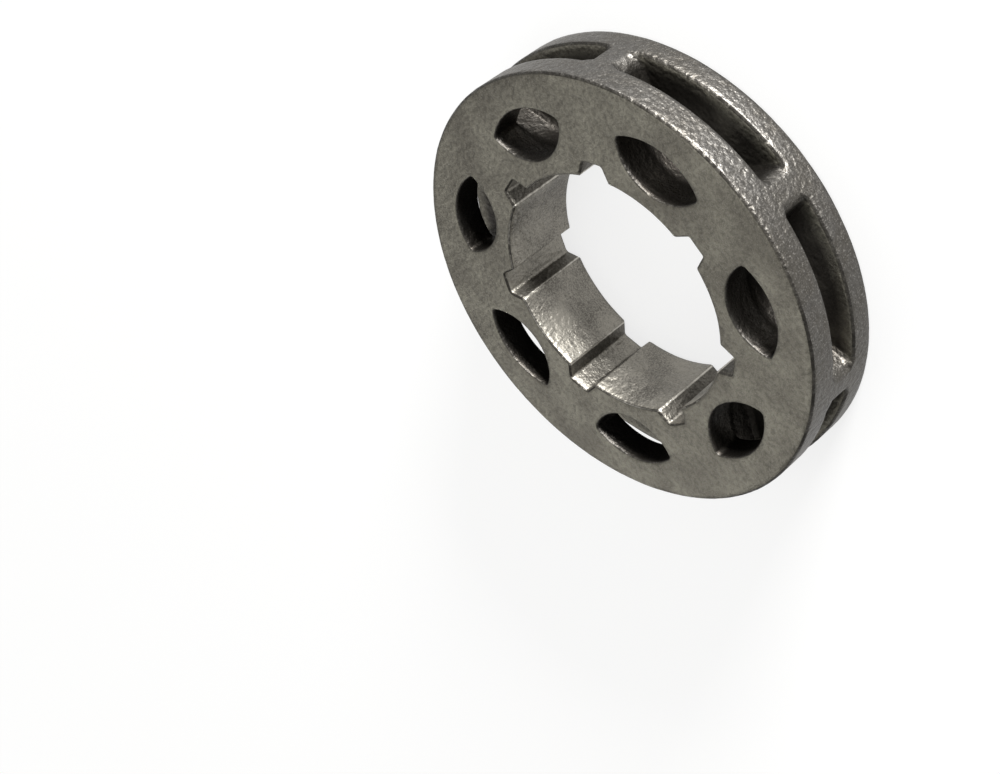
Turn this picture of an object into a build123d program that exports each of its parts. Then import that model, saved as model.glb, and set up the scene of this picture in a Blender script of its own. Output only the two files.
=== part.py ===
from build123d import *
import math
import os

# A rim sprocket: one steel casting that drives a cutting chain.
# Two round flanges stand either side of a slot. Webs across the slot divide it
# into pockets for the chain's drive links, and each pocket opens through a
# lens-shaped window in the upper flange. The bore slides on a splined hub.
# The origin is on the axis, at the lower face, which has a recessed panel.
# A web, a bore notch and the middle of the panel point along -Y.
# Sizes are in millimetres, and angles in degrees.

# Webs, and so pockets, windows and bore notches too.
TEETH = 7

# Flanges and the slot between them. An edge break is a small chamfer, as cast.
OUTER_DIAMETER = 37.0
PANEL_FLANGE = 2.15
SLOT_WIDTH = 2.4
WINDOW_FLANGE = 2.55
RIM_EDGE_BREAK = 0.2
SLOT_EDGE_BREAK = 0.2

# Splined bore: round lands, with notches that narrow towards their roots.
BORE_DIAMETER = 20.4
NOTCH_DEPTH = 1.25
NOTCH_MOUTH_WIDTH = 2.7
NOTCH_ROOT_WIDTH = 1.7
NOTCH_ROOT_ROUND = 0.25
NOTCH_MOUTH_ROUND = 0.2
BORE_EDGE_BREAK = 0.15

# Pockets: a round floor, straight flanks, and webs with rounded noses that
# stand in the slot's mouth. The nose circle bulges past the rim by the nose cut.
HUB_WALL = 1.4
POCKET_FLOOR_RADIUS = 4.1
WEB_TIP_WIDTH = 2.6
WEB_NOSE_RADIUS = 1.2
WEB_NOSE_CUT = 0.05
POCKET_CORNER = 0.25

# Windows: lenses between two arcs, the inner one just clear of the pocket floor.
WINDOW_SETBACK = 0.05
WINDOW_LENGTH = 4.15
WINDOW_ARC_RADIUS = 5.3
WINDOW_TIP_ROUND = 0.4
WINDOW_EDGE_BREAK = 0.12

# Panel: a shallow curved recess, with one low pip for each tooth.
PANEL_INNER_RADIUS = 13.2
PANEL_WIDTH = 3.85
PANEL_SPAN = 68.0
PANEL_DEPTH = 0.4
PANEL_CORNER_ROUND = 0.4
PIP_DIAMETER = 1.4
PIP_HEIGHT = 0.3
PIP_SPACING = 7.6

# How far a cutting shape runs past the surface that it cuts, and how near a
# point is to a surface that it counts as lying on.
OVERRUN = 2.0
NEAR = 0.01

RIM_RADIUS = OUTER_DIAMETER / 2
THICKNESS = PANEL_FLANGE + SLOT_WIDTH + WINDOW_FLANGE
LAND_RADIUS = BORE_DIAMETER / 2
POCKET_FLOOR = LAND_RADIUS + HUB_WALL
POCKET_CENTRE = POCKET_FLOOR + POCKET_FLOOR_RADIUS
TOOTH_ANGLE = 360 / TEETH
WEB_ANGLE = -90.0
POCKET_ANGLE = WEB_ANGLE + TOOTH_ANGLE / 2


def polar(radius, angle):
    """The point at a distance from the axis and an angle from +X."""
    turn = math.radians(angle)
    return Vector(radius * math.cos(turn), radius * math.sin(turn))


def flipped(point):
    """The mirror image of a point, across the X axis."""
    return Vector(point.X, -point.Y)


def around(shape, first_angle):
    """Copies of a shape that is drawn on +X, one for each tooth."""
    return [Rot(0, 0, first_angle + i * TOOTH_ANGLE) * shape for i in range(TEETH)]


def from_axis(point):
    """How far a point is from the axis."""
    return math.hypot(point.X, point.Y)


def is_level(edge):
    """Whether both ends of an edge are at one height."""
    return abs(edge.position_at(0).Z - edge.position_at(1).Z) < NEAR


def blank():
    """The disc that everything is cut from."""
    disc = Rot(0, 0, WEB_ANGLE) * extrude(Circle(RIM_RADIUS), THICKNESS)
    return chamfer(disc.edges().filter_by(GeomType.CIRCLE), RIM_EDGE_BREAK)


def notch():
    """One bore notch in plan, from the axis out to its root."""
    root = LAND_RADIUS + NOTCH_DEPTH
    mouth = math.sqrt(LAND_RADIUS**2 - (NOTCH_MOUTH_WIDTH / 2) ** 2)
    right_side = [
        Vector(0, -NOTCH_MOUTH_WIDTH / 2),
        Vector(mouth, -NOTCH_MOUTH_WIDTH / 2),
        Vector(root, -NOTCH_ROOT_WIDTH / 2),
    ]
    left_side = [flipped(point) for point in reversed(right_side)]
    outline = make_face(Polyline(*right_side, *left_side, close=True))
    return fillet(outline.vertices().sort_by(Axis.X)[-2:], NOTCH_ROOT_ROUND)


def bore():
    """The splined bore, as a shape to cut through both faces."""
    outline = Circle(LAND_RADIUS)
    for shape in around(notch(), WEB_ANGLE):
        outline += shape
    mouths = outline.vertices().filter_by(lambda v: from_axis(v) < LAND_RADIUS + NEAR)
    outline = fillet(mouths, NOTCH_MOUTH_ROUND)
    return Pos(0, 0, -OVERRUN) * extrude(outline, THICKNESS + 2 * OVERRUN)


def pocket_outline():
    """One pocket in plan: floor arc, flanks, and the noses of the two webs."""
    floor_centre = Vector(POCKET_CENTRE, 0)
    # A flank would meet the rim here if the web's nose were sharp.
    half_web = math.degrees(math.asin(WEB_TIP_WIDTH / 2 / RIM_RADIUS))
    tip = polar(RIM_RADIUS, TOOTH_ANGLE / 2 - half_web)
    # The flank leaves the floor arc on a tangent that aims at the tip.
    reach = tip - floor_centre
    bearing = math.degrees(math.atan2(reach.Y, reach.X))
    spread = math.degrees(math.acos(POCKET_FLOOR_RADIUS / reach.length))
    leave = floor_centre + polar(POCKET_FLOOR_RADIUS, bearing + spread)
    along = (tip - leave).normalized()
    across = Vector(-along.Y, along.X)
    # The nose circle touches the flank, with its centre at this distance from the axis.
    nose_reach = RIM_RADIUS + WEB_NOSE_CUT - WEB_NOSE_RADIUS
    foot = leave + across * WEB_NOSE_RADIUS
    slide = math.sqrt(foot.dot(along) ** 2 - foot.dot(foot) + nose_reach**2) - foot.dot(along)
    nose_centre = foot + along * slide
    touch = nose_centre - across * WEB_NOSE_RADIUS
    crest_angle = math.degrees(math.atan2(nose_centre.Y, nose_centre.X))
    crest = polar(RIM_RADIUS + WEB_NOSE_CUT, crest_angle)
    outside = polar(RIM_RADIUS + OVERRUN, crest_angle)
    return make_face(
        Wire(
            [
                ThreePointArc(flipped(leave), Vector(POCKET_FLOOR, 0), leave),
                Line(leave, touch),
                TangentArc(touch, crest, tangent=along),
                Line(crest, outside),
                ThreePointArc(outside, Vector(RIM_RADIUS + OVERRUN, 0), flipped(outside)),
                Line(flipped(outside), flipped(crest)),
                TangentArc(flipped(touch), flipped(crest), tangent=flipped(along)),
                Line(flipped(touch), flipped(leave)),
            ]
        )
    )


def pocket():
    """One pocket, as a shape to cut between the flanges."""
    shape = extrude(pocket_outline(), SLOT_WIDTH)
    corners = shape.edges().filter_by(
        lambda e: is_level(e)
        and max(from_axis(e @ 0), from_axis(e @ 1)) < RIM_RADIUS + WEB_NOSE_CUT + NEAR
    )
    return Pos(0, 0, PANEL_FLANGE) * chamfer(corners, POCKET_CORNER)


def window():
    """One window, as a shape to cut down into its pocket."""
    lens = Pos(POCKET_CENTRE, 0) * Circle(POCKET_FLOOR_RADIUS - WINDOW_SETBACK)
    arc_centre = POCKET_FLOOR + WINDOW_SETBACK + WINDOW_LENGTH - WINDOW_ARC_RADIUS
    lens &= Pos(arc_centre, 0) * Circle(WINDOW_ARC_RADIUS)
    lens = fillet(lens.vertices(), WINDOW_TIP_ROUND)
    bottom = PANEL_FLANGE + SLOT_WIDTH / 2
    return Pos(0, 0, bottom) * extrude(lens, THICKNESS - bottom + OVERRUN)


def panel():
    """The recessed panel, as a shape to cut around its pips."""
    sector = Circle(PANEL_INNER_RADIUS + PANEL_WIDTH) - Circle(PANEL_INNER_RADIUS)
    ends = [polar(OUTER_DIAMETER, WEB_ANGLE + side * PANEL_SPAN / 2) for side in (-1, 1)]
    sector &= make_face(Polyline((0, 0), *ends, close=True))
    sector = fillet(sector.vertices(), PANEL_CORNER_ROUND)
    recess = Pos(0, 0, -OVERRUN) * extrude(sector, OVERRUN + PANEL_DEPTH)
    pip = extrude(Circle(PIP_DIAMETER / 2), PIP_HEIGHT)
    for i in range(TEETH):
        angle = WEB_ANGLE + (i - (TEETH - 1) / 2) * PIP_SPACING
        centre = polar(PANEL_INNER_RADIUS + PANEL_WIDTH / 2, angle)
        recess -= Pos(centre.X, centre.Y, PANEL_DEPTH - PIP_HEIGHT) * pip
    return recess


def slot_lips(body):
    """The edges of the flanges where the pockets open onto the rim."""
    return body.edges().filter_by(
        lambda e: is_level(e)
        and abs(from_axis(e @ 0.5) - RIM_RADIUS) < NEAR
        and PANEL_FLANGE - NEAR < e.center().Z < PANEL_FLANGE + SLOT_WIDTH + NEAR
    )


def holes_in(face):
    """The outlines of the holes in a level face, the one on the axis first."""
    return face.inner_wires().sort_by(lambda w: from_axis(w.center()))


def break_hole_edges(body):
    """The body with the edges of its windows and of both ends of its bore broken."""
    windows = holes_in(body.faces().sort_by(Axis.Z)[-1])[1:]
    body = chamfer([edge for lens in windows for edge in lens.edges()], WINDOW_EDGE_BREAK)
    for end in (0, -1):
        mouth = holes_in(body.faces().sort_by(Axis.Z)[end])[0]
        body = chamfer(mouth.edges(), BORE_EDGE_BREAK)
    return body


def rim_sprocket():
    """The whole casting."""
    body = blank()
    for shape in around(pocket(), POCKET_ANGLE):
        body -= shape
    body = chamfer(slot_lips(body), SLOT_EDGE_BREAK) - bore()
    for shape in around(window(), POCKET_ANGLE):
        body -= shape
    return break_hole_edges(body) - panel()


os.makedirs("parts", exist_ok=True)
export_step(rim_sprocket(), "parts/rim_sprocket.step")
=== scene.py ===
import math

import bmesh
import bpy
from bpy.props import FloatProperty, FloatVectorProperty, PointerProperty
from bpy.types import Operator, Panel, PropertyGroup
from mathutils import Matrix, Vector, noise


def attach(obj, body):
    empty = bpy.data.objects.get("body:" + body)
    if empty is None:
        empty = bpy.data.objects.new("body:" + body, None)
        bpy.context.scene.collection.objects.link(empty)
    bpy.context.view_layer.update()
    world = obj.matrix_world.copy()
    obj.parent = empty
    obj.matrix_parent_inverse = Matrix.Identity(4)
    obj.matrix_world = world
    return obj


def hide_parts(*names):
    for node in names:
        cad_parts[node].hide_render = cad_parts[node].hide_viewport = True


bl_info = {
    "name": "Rim sprocket",
    "version": (1, 0, 0),
    "blender": (4, 5, 0),
    "location": "3D View > Sidebar > Rim sprocket",
    "description": "Dresses a cast steel rim sprocket and sets up its stage",
    "category": "Object",
}

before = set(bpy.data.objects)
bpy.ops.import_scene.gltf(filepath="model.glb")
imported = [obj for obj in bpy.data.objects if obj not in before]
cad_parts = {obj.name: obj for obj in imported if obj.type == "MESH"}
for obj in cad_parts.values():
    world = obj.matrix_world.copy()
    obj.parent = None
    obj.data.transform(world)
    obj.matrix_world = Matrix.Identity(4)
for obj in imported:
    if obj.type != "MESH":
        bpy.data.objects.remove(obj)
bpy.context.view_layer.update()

MM = 0.001
NODE = "rim_sprocket"

# Angles between the faces of an edge that stays sharp and of one that counts as flat.
EDGE_ANGLE = math.radians(30)
FLAT_ANGLE = math.radians(1)

# Corners of the CAD mesh that are closer than this are one corner.
WELD_MM = 0.001

# Stretches of the casting, as radii from its axis and heights over its panel face. The
# third value is the width of the soft ends.
LAND_CORNERS = (10.29 * MM, 10.38 * MM, 0.02 * MM)
NOTCH_WALLS = (10.45 * MM, 11.35 * MM, 0.05 * MM)
POCKET_HEIGHTS = (2.1 * MM, 6.9 * MM, 0.12 * MM)
PANEL_HEIGHTS = (0.3 * MM, 0.5 * MM, 0.1 * MM)

# Where the bore fades out, and the pockets fade in and out again, as radii.
BORE_FADE = (11.56 * MM, 11.5 * MM)
POCKET_FADES = ((11.5 * MM, 11.56 * MM), (18.0 * MM, 17.2 * MM))

# The windows' middle as a radius, and how far from it the other edges start.
WINDOW_MIDDLE = 14.9 * MM
WINDOW_REACH = (3.2 * MM, 3.3 * MM)

# How level a surface lies, from nought on the rim to one on the faces: where the faces
# fade in and the walls fade out, and the stretch that the chamfers take up.
FACE_FADE = (0.6, 0.95)
WALL_FADE = (0.9, 0.7)
CHAMFER_TILTS = (0.4, 0.88, 0.05)

# The sockets of a Mix node that blends colours.
MIX_SHARE, MIX_FIRST, MIX_SECOND, MIX_RESULT = 0, 6, 7, 2

FLOOR_HALF_WIDTH = 1.5
SENSOR_WIDTH_MM = 36


def linear(code):
    """The linear RGB of an sRGB hex colour, by the standard's own curve."""
    channels = [int(code[i : i + 2], 16) / 255 for i in (1, 3, 5)]
    return tuple(c / 12.92 if c <= 0.04045 else ((c + 0.055) / 1.055) ** 2.4 for c in channels)


def color_property(name, description, code):
    """A colour setting, with its default given as sRGB hex."""
    return FloatVectorProperty(
        name=name, description=description, subtype="COLOR", default=linear(code), min=0, max=1
    )


class CastingSettings(PropertyGroup):
    """Sizes and colours of the casting's surface."""

    longest_edge: FloatProperty(
        name="Longest edge",
        description="Longest edge of the surface mesh",
        default=0.5 * MM,
        min=0.3 * MM,
        unit="LENGTH",
        precision=5,
    )
    swell_size: FloatProperty(
        name="Swell size",
        description="Spacing of the slow waves that the wax pattern leaves",
        default=2.6 * MM,
        unit="LENGTH",
        precision=5,
    )
    swell_depth: FloatProperty(
        name="Swell depth",
        description="Depth of the slow waves",
        default=0.03 * MM,
        unit="LENGTH",
        precision=6,
    )
    sand_size: FloatProperty(
        name="Sand size",
        description="Spacing of the bumps that the mould's stucco leaves",
        default=0.55 * MM,
        unit="LENGTH",
        precision=5,
    )
    sand_depth: FloatProperty(
        name="Sand depth",
        description="Depth of the bumps that the mould's stucco leaves",
        default=0.022 * MM,
        unit="LENGTH",
        precision=6,
    )
    lump_size: FloatProperty(
        name="Lump size",
        description="Spacing of the lumps in the grain",
        default=0.44 * MM,
        unit="LENGTH",
        precision=5,
    )
    lump_depth: FloatProperty(
        name="Lump depth",
        description="Depth of the lumps in the grain",
        default=0.125 * MM,
        unit="LENGTH",
        precision=6,
    )
    grain_size: FloatProperty(
        name="Grain size",
        description="Spacing of the blasted grain",
        default=0.12 * MM,
        unit="LENGTH",
        precision=5,
    )
    grain_depth: FloatProperty(
        name="Grain depth",
        description="Depth of the blasted grain",
        default=0.03 * MM,
        unit="LENGTH",
        precision=6,
    )
    patch_size: FloatProperty(
        name="Patch size",
        description="Spacing of the patches of scale and wear",
        default=3.2 * MM,
        unit="LENGTH",
        precision=5,
    )
    roughness: FloatProperty(
        name="Roughness",
        description="Roughness of the blasted steel",
        default=0.47,
        min=0,
        max=1,
        subtype="FACTOR",
    )
    rubbed_roughness: FloatProperty(
        name="Rubbed roughness",
        description="Roughness of the faces and the lands of the bore",
        default=0.52,
        min=0,
        max=1,
        subtype="FACTOR",
    )
    # Roughness of the painted shade line along the chamfered edges.
    edge_shade_roughness: FloatProperty(
        name="Grime roughness",
        description="Roughness of the grime along the edges",
        default=0.8,
        min=0,
        max=1,
        subtype="FACTOR",
    )
    steel: color_property("Steel", "Blasted steel of the rim", "#5A5855")
    face: color_property("Face", "Steel of the two faces", "#7B786D")
    scale: color_property("Scale", "Thin scale that the blasting left", "#524E47")
    rubbed: color_property("Rubbed", "Crests of the grain", "#8B8883")
    # Painted shade in the hollows between the lumps of the grain.
    pit_shade: color_property("Pit", "Pits between the lumps of the grain", "#3F3C37")
    # Pale lands of the bore: partly wear, partly painted light.
    wear_and_painted_light: color_property("Worn", "Lands of the bore, worn bright", "#97938A")
    # A painted highlight along the corners of the lands, partly wear.
    worn_corner_highlight: color_property("Corner", "Corners of the lands, worn brightest", "#C9C5BC")
    # Painted shade, laid in the pockets and windows, in the panel and on the walls of the
    # notches.
    recess_shade: color_property("Pocket", "Scale left in the pockets and windows", "#3A3733")
    # A painted shade line along the chamfered edges.
    edge: color_property("Edge", "Grime along the edges", "#24221F")


class StageSettings(PropertyGroup):
    """The floor, the lamps and the camera."""

    floor_color: color_property("Floor", "Colour of the floor", "#FAFAF8")
    floor_white: FloatProperty(
        name="Floor white",
        description="Share of the floor that is plain white",
        default=0.75,
        min=0,
        max=1,
        subtype="FACTOR",
    )
    sky: FloatProperty(
        name="Sky", description="Strength of the light from all round", default=0.5, min=0
    )
    lens: FloatProperty(
        name="Lens", description="Focal length of the camera", default=69.8 * MM, unit="CAMERA"
    )
    camera_distance: FloatProperty(
        name="Camera distance",
        description="From the camera to the point that it looks at",
        default=148.3 * MM,
        unit="LENGTH",
    )
    camera_azimuth: FloatProperty(
        name="Camera azimuth",
        description="Direction of the camera round the axis, from +X",
        default=math.radians(-84.85),
        subtype="ANGLE",
    )
    camera_elevation: FloatProperty(
        name="Camera elevation",
        description="Height of the camera over the floor, as an angle",
        default=math.radians(32.27),
        subtype="ANGLE",
    )
    camera_roll: FloatProperty(
        name="Camera roll",
        description="Turn of the camera about its line of sight",
        default=math.radians(-128.18),
        subtype="ANGLE",
    )
    camera_target: FloatVectorProperty(
        name="Camera target",
        description="The point that the camera looks at",
        default=(-0.91 * MM, 7.31 * MM, 15.21 * MM),
        subtype="TRANSLATION",
        precision=5,
    )


def add_node(tree, kind, inputs=None, **settings):
    """Adds a node. Inputs are values or sockets, by name or number."""
    node = tree.nodes.new(kind)
    for name, value in settings.items():
        setattr(node, name, value)
    for key, value in (inputs or {}).items():
        if isinstance(value, bpy.types.NodeSocket):
            tree.links.new(value, node.inputs[key])
        else:
            node.inputs[key].default_value = value
    return node


def new_material(name):
    """An empty node material, and its node tree."""
    material = bpy.data.materials.new(name)
    material.use_nodes = True
    material.node_tree.nodes.clear()
    return material, material.node_tree


def between(socket, low, high, soft):
    """The two ramps of a mask that is one from low to high, and nought past a soft
    margin on either side."""
    return (socket, low - soft, low), (socket, high + soft, high)


def cast_steel(settings):
    """Investment-cast steel, blasted clean: a warm dark grey whose lumpy grain glitters
    where a lamp is mirrored, with painted shade in its small pits. The faces are rubbed a
    little paler. The lands of the bore are paler, partly from wear and partly as painted
    light, with a painted highlight along their corners. Painted shade darkens the pockets
    and windows, the panel and the walls of the notches, and a painted shade line runs
    along the edges."""
    material, tree = new_material("investment_cast_steel")
    coordinates = add_node(tree, "ShaderNodeTexCoord").outputs
    place = coordinates["Object"]

    def mask(*factors):
        """The product of sockets, numbers and ramps. A ramp is a socket, the values
        where it starts and ends, and what it gives there if not nought and one."""
        result = None
        for factor in factors:
            if isinstance(factor, tuple):
                ramp = dict(enumerate(factor))
                factor = add_node(tree, "ShaderNodeMapRange", ramp).outputs["Result"]
            if result is None:
                result = factor
            else:
                inputs = {0: result, 1: factor}
                result = add_node(tree, "ShaderNodeMath", inputs, operation="MULTIPLY").outputs[0]
        return result

    # Where a point is, and how level its surface lies.
    height = add_node(tree, "ShaderNodeSeparateXYZ", {"Vector": place}).outputs["Z"]
    level_place = add_node(
        tree, "ShaderNodeVectorMath", {0: place, 1: (1, 1, 0)}, operation="MULTIPLY"
    ).outputs["Vector"]
    radius = add_node(
        tree, "ShaderNodeVectorMath", {0: level_place}, operation="LENGTH"
    ).outputs["Value"]
    normal_z = add_node(
        tree, "ShaderNodeSeparateXYZ", {"Vector": coordinates["Normal"]}
    ).outputs["Z"]
    tilt = add_node(tree, "ShaderNodeMath", {0: normal_z}, operation="ABSOLUTE").outputs[0]
    offset = add_node(
        tree, "ShaderNodeMath", {0: radius, 1: WINDOW_MIDDLE}, operation="SUBTRACT"
    ).outputs[0]
    off_windows = add_node(tree, "ShaderNodeMath", {0: offset}, operation="ABSOLUTE").outputs[0]

    # A noise's scale is one over its spacing. The blasting's own grain is finer than
    # the one here, which is drawn as coarse as it needs to be to show.
    lumps, grain, patches = (
        add_node(
            tree, "ShaderNodeTexNoise", {"Vector": place, "Scale": 1 / size, "Detail": detail}
        ).outputs["Fac"]
        for size, detail in (
            (settings.lump_size, 1.0),
            (settings.grain_size, 2.0),
            (settings.patch_size, 3.0),
        )
    )
    mottle, relief = (
        add_node(tree, "ShaderNodeMath", {0: grain, 1: other}, operation="ADD").outputs[0]
        for other in (patches, lumps)
    )

    # How much of each kind of surface a point has, from nought to one.
    face = mask((tilt, *FACE_FADE))
    bore = mask((tilt, *WALL_FADE), (radius, *BORE_FADE))
    deep = mask(*((radius, *fade) for fade in POCKET_FADES))
    # Painted shade in the pockets and windows, a little patchy.
    recess_shade = mask(deep, *between(height, *POCKET_HEIGHTS), (patches, 0.45, 0.65, 1, 0.7))
    # Painted shade in the recess of the panel.
    panel_shade = mask(deep, *between(height, *PANEL_HEIGHTS), 0.6)
    # Painted shade on the walls of the notches.
    notch_shade = mask(bore, *between(radius, *NOTCH_WALLS), 0.55)
    # A painted highlight along the corners of the lands, partly wear.
    worn_corner_highlight = mask(bore, *between(radius, *LAND_CORNERS))
    # The lands of the bore paler, a little patchy: partly wear, partly painted light.
    wear_and_painted_light = mask(bore, (mottle, 0.75, 1.15, 0.2, 1))
    # A painted shade line along the chamfers, weaker round the windows and broken up by the
    # grain.
    edge = mask(
        *between(tilt, *CHAMFER_TILTS),
        (off_windows, *WINDOW_REACH, 0.6, 1),
        (lumps, 0.3, 0.45, 0.4, 1),
        (patches, 0.4, 0.6, 0.45, 0.9),
    )

    color = (*settings.steel, 1)
    # Pits, pockets, panel, notch walls and edges get painted shade; the lands and their corners
    # get paler, partly wear and partly painted light.
    for share, coat in (
        (face, settings.face),
        (mask((patches, 0.65, 0.35, 0, 0.55)), settings.scale),
        # Painted shade in the hollows of the grain.
        (mask((relief, 1.12, 0.80, 0, 0.4)), settings.pit_shade),
        (mask((grain, 0.55, 0.8), (face, 0, 1, 1, 0.4)), settings.rubbed),
        (wear_and_painted_light, settings.wear_and_painted_light),
        (worn_corner_highlight, settings.worn_corner_highlight),
        (recess_shade, settings.recess_shade),
        (panel_shade, settings.recess_shade),
        (notch_shade, settings.recess_shade),
        (edge, settings.edge),
    ):
        inputs = {MIX_SHARE: share, MIX_FIRST: color, MIX_SECOND: (*coat, 1)}
        color = add_node(tree, "ShaderNodeMix", inputs, data_type="RGBA").outputs[MIX_RESULT]

    rubbed, smooth = (
        add_node(tree, "ShaderNodeMath", {0: face, 1: other}, operation="MAXIMUM").outputs[0]
        for other in (wear_and_painted_light, bore)
    )
    steel_roughness = mask((rubbed, 0, 1, settings.roughness, settings.rubbed_roughness))
    # The painted shade line along the edges is also rougher.
    edge_shade_roughness = mask(edge, settings.edge_shade_roughness)
    roughness = add_node(
        tree, "ShaderNodeMath", {0: steel_roughness, 1: edge_shade_roughness}, operation="MAXIMUM"
    ).outputs[0]

    # The lumps are shallower in the pockets, and the whole grain a little on the faces.
    filled = add_node(
        tree, "ShaderNodeMath", {0: mask(smooth, 0.1), 1: mask(recess_shade, 0.6)}, operation="MAXIMUM"
    ).outputs[0]
    normal = {}
    for bumps, share, depth, least in (
        (lumps, filled, settings.lump_depth, 0.3),
        (grain, face, settings.grain_depth, 0.8),
    ):
        distance = mask((share, 0, 1, depth, least * depth))
        inputs = {"Height": bumps, "Strength": 1.0, "Distance": distance, **normal}
        normal = {"Normal": add_node(tree, "ShaderNodeBump", inputs).outputs["Normal"]}

    inputs = {"Base Color": color, "Metallic": 1.0, "Roughness": roughness, **normal}
    shader = add_node(tree, "ShaderNodeBsdfPrincipled", inputs).outputs["BSDF"]
    add_node(tree, "ShaderNodeOutputMaterial", {"Surface": shader})
    return material


def fine_mesh(node, longest):
    """The mesh of a CAD node in millimetres, with its long edges halved until none
    is much over a length, and its flat areas evened out. No edge of the solid moves."""
    shape = bmesh.new()
    shape.from_mesh(node.data)
    shape.transform(Matrix.Scale(1 / MM, 4))
    bmesh.ops.remove_doubles(shape, verts=shape.verts, dist=WELD_MM)
    limit = max(edge.calc_length() for edge in shape.edges)
    while limit > longest:
        limit = max(limit / 2, longest)
        long_edges = [edge for edge in shape.edges if edge.calc_length() > limit]
        bmesh.ops.subdivide_edges(shape, edges=long_edges, cuts=1)
        bmesh.ops.triangulate(shape, faces=shape.faces)
        flat_edges = [edge for edge in shape.edges if edge.calc_face_angle() < FLAT_ANGLE]
        bmesh.ops.beautify_fill(shape, faces=shape.faces, edges=flat_edges)
    mesh = bpy.data.meshes.new("casting")
    shape.to_mesh(mesh)
    shape.free()
    return mesh


def sink_surface(mesh, size, depth):
    """Sinks the surface into waves, by no more than a depth, all in millimetres."""
    shape = bmesh.new()
    shape.from_mesh(mesh)
    shape.normal_update()
    for vertex in shape.verts:
        wave = (1 + noise.noise(vertex.co / size)) / 2
        vertex.co -= vertex.normal * depth * wave
    shape.to_mesh(mesh)
    shape.free()


class SPROCKET_OT_casting(Operator):
    """Builds the casting's surface over the CAD solid"""

    bl_idname = "sprocket.casting"
    bl_label = "Casting"

    def execute(self, context):
        settings = context.scene.sprocket_casting
        mesh = fine_mesh(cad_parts[NODE], settings.longest_edge / MM)
        for size, depth in (
            (settings.swell_size, settings.swell_depth),
            (settings.sand_size, settings.sand_depth),
        ):
            sink_surface(mesh, size / MM, depth / MM)
        mesh.transform(Matrix.Scale(MM, 4))
        mesh.shade_smooth()
        mesh.set_sharp_from_angle(angle=EDGE_ANGLE)
        mesh.materials.append(cast_steel(settings))
        casting = bpy.data.objects.new("casting", mesh)
        context.collection.objects.link(casting)
        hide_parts(NODE)
        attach(casting, "root")
        return {"FINISHED"}


def direction(azimuth, elevation):
    """The unit vector at an azimuth from +X and an elevation, in radians."""
    level = math.cos(elevation)
    return Vector((level * math.cos(azimuth), level * math.sin(azimuth), math.sin(elevation)))


def add_floor(settings):
    """Matt white board that the casting lies on. Most of what the camera and the
    steel see of it is plain white, and the rest is lit, which keeps the shadow."""
    shape = bmesh.new()
    bmesh.ops.create_grid(shape, x_segments=1, y_segments=1, size=FLOOR_HALF_WIDTH)
    mesh = bpy.data.meshes.new("floor")
    shape.to_mesh(mesh)
    shape.free()
    material, tree = new_material("matt_white_board")
    color = (*settings.floor_color, 1)
    board = add_node(tree, "ShaderNodeBsdfDiffuse", {"Color": color}).outputs["BSDF"]
    white = add_node(tree, "ShaderNodeEmission", {"Color": (1, 1, 1, 1)}).outputs["Emission"]
    light_path = add_node(tree, "ShaderNodeLightPath").outputs
    seen = light_path["Is Camera Ray"]
    for ray in ("Is Glossy Ray", "Is Transmission Ray"):
        inputs = {0: seen, 1: light_path[ray]}
        seen = add_node(tree, "ShaderNodeMath", inputs, operation="MAXIMUM").outputs[0]
    share = add_node(
        tree, "ShaderNodeMath", {0: seen, 1: settings.floor_white}, operation="MULTIPLY"
    ).outputs[0]
    shader = add_node(tree, "ShaderNodeMixShader", {0: share, 1: board, 2: white}).outputs[0]
    add_node(tree, "ShaderNodeOutputMaterial", {"Surface": shader})
    mesh.materials.append(material)
    floor = bpy.data.objects.new("floor", mesh)
    bpy.context.collection.objects.link(floor)


def add_lamp(name, azimuth, elevation, distance, size, radiance):
    """A square soft box that faces the casting, at angles in degrees and a distance
    and size in metres. Radiance is what its face gives off, where one is white."""
    data = bpy.data.lights.new(name, "AREA")
    data.size = size
    data.energy = radiance * math.pi * size**2
    lamp = bpy.data.objects.new(name, data)
    way = direction(math.radians(azimuth), math.radians(elevation))
    lamp.location = way * distance
    lamp.rotation_euler = way.to_track_quat("Z", "Y").to_euler()
    bpy.context.collection.objects.link(lamp)


def add_sky(strength):
    """Even light from all round."""
    world = bpy.data.worlds.new("studio")
    world.use_nodes = True
    world.node_tree.nodes["Background"].inputs["Color"].default_value = (1, 1, 1, 1)
    world.node_tree.nodes["Background"].inputs["Strength"].default_value = strength
    bpy.context.scene.world = world


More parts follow.
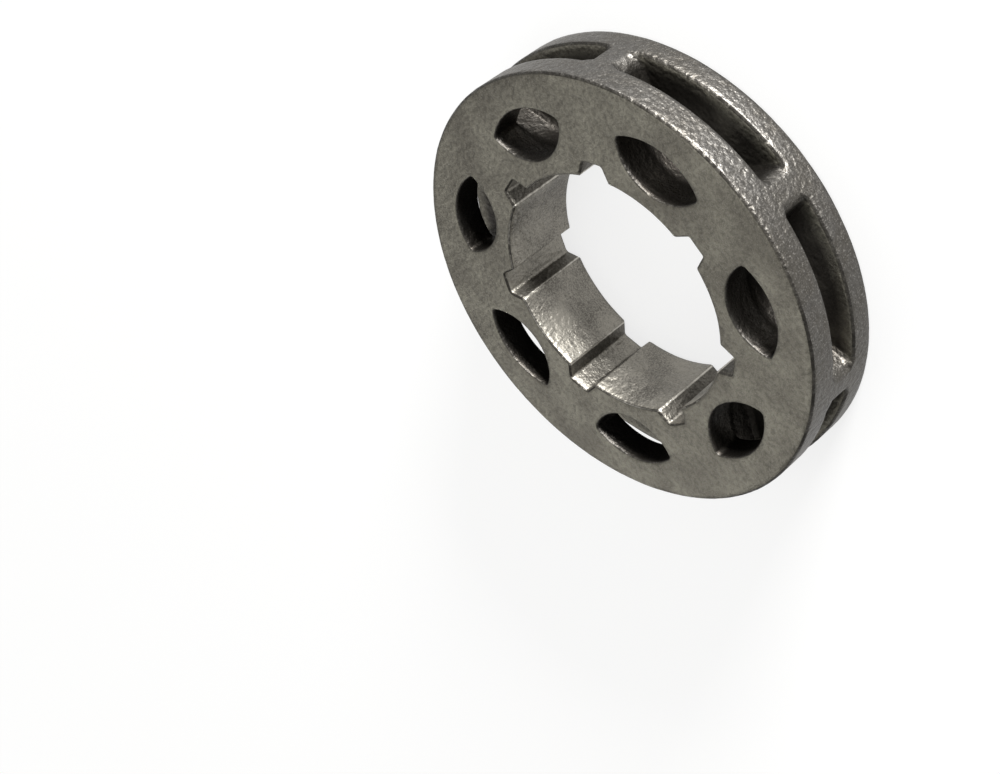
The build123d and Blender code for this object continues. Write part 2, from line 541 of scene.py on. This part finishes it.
def add_camera(settings):
    """The camera, where the photograph was taken from."""
    data = bpy.data.cameras.new("camera")
    data.sensor_width = SENSOR_WIDTH_MM
    data.lens = settings.lens / MM
    data.clip_start = MM
    camera = bpy.data.objects.new("camera", data)
    way = direction(settings.camera_azimuth, settings.camera_elevation)
    roll = Matrix.Rotation(settings.camera_roll, 4, "Z")
    turn = way.to_track_quat("Z", "Y").to_matrix().to_4x4() @ roll
    place = Vector(settings.camera_target) + way * settings.camera_distance
    camera.matrix_world = Matrix.Translation(place) @ turn
    bpy.context.collection.objects.link(camera)
    bpy.context.scene.camera = camera


class SPROCKET_OT_stage(Operator):
    """Adds the floor, the lamps and the camera"""

    bl_idname = "sprocket.stage"
    bl_label = "Stage"

    def execute(self, context):
        settings = context.scene.sprocket_stage
        add_floor(settings)
        add_sky(settings.sky)
        add_lamp("low", azimuth=-60, elevation=5, distance=0.45, size=0.10, radiance=300.0)
        add_lamp("back", azimuth=105, elevation=33, distance=0.45, size=0.20, radiance=2.4)
        add_lamp("top", azimuth=0, elevation=85, distance=0.50, size=0.35, radiance=1.4)
        add_camera(settings)
        context.scene.view_settings.view_transform = "Standard"
        return {"FINISHED"}


class SPROCKET_PT_panel(Panel):
    """The sprocket's operators and settings"""

    bl_idname = "SPROCKET_PT_panel"
    bl_label = "Rim sprocket"
    bl_space_type = "VIEW_3D"
    bl_region_type = "UI"
    bl_category = "Rim sprocket"

    def draw(self, context):
        for operator, group in (
            (SPROCKET_OT_casting, context.scene.sprocket_casting),
            (SPROCKET_OT_stage, context.scene.sprocket_stage),
        ):
            box = self.layout.box()
            box.operator(operator.bl_idname)
            for name in group.bl_rna.properties.keys():
                if name not in ("rna_type", "name"):
                    box.prop(group, name)


CLASSES = (
    CastingSettings,
    StageSettings,
    SPROCKET_OT_casting,
    SPROCKET_OT_stage,
    SPROCKET_PT_panel,
)


def register():
    for cls in CLASSES:
        bpy.utils.register_class(cls)
    bpy.types.Scene.sprocket_casting = PointerProperty(type=CastingSettings)
    bpy.types.Scene.sprocket_stage = PointerProperty(type=StageSettings)


def unregister():
    del bpy.types.Scene.sprocket_stage
    del bpy.types.Scene.sprocket_casting
    for cls in reversed(CLASSES):
        bpy.utils.unregister_class(cls)


def main():
    register()
    bpy.ops.sprocket.casting()
    bpy.ops.sprocket.stage()


if __name__ == "__main__":
    main()
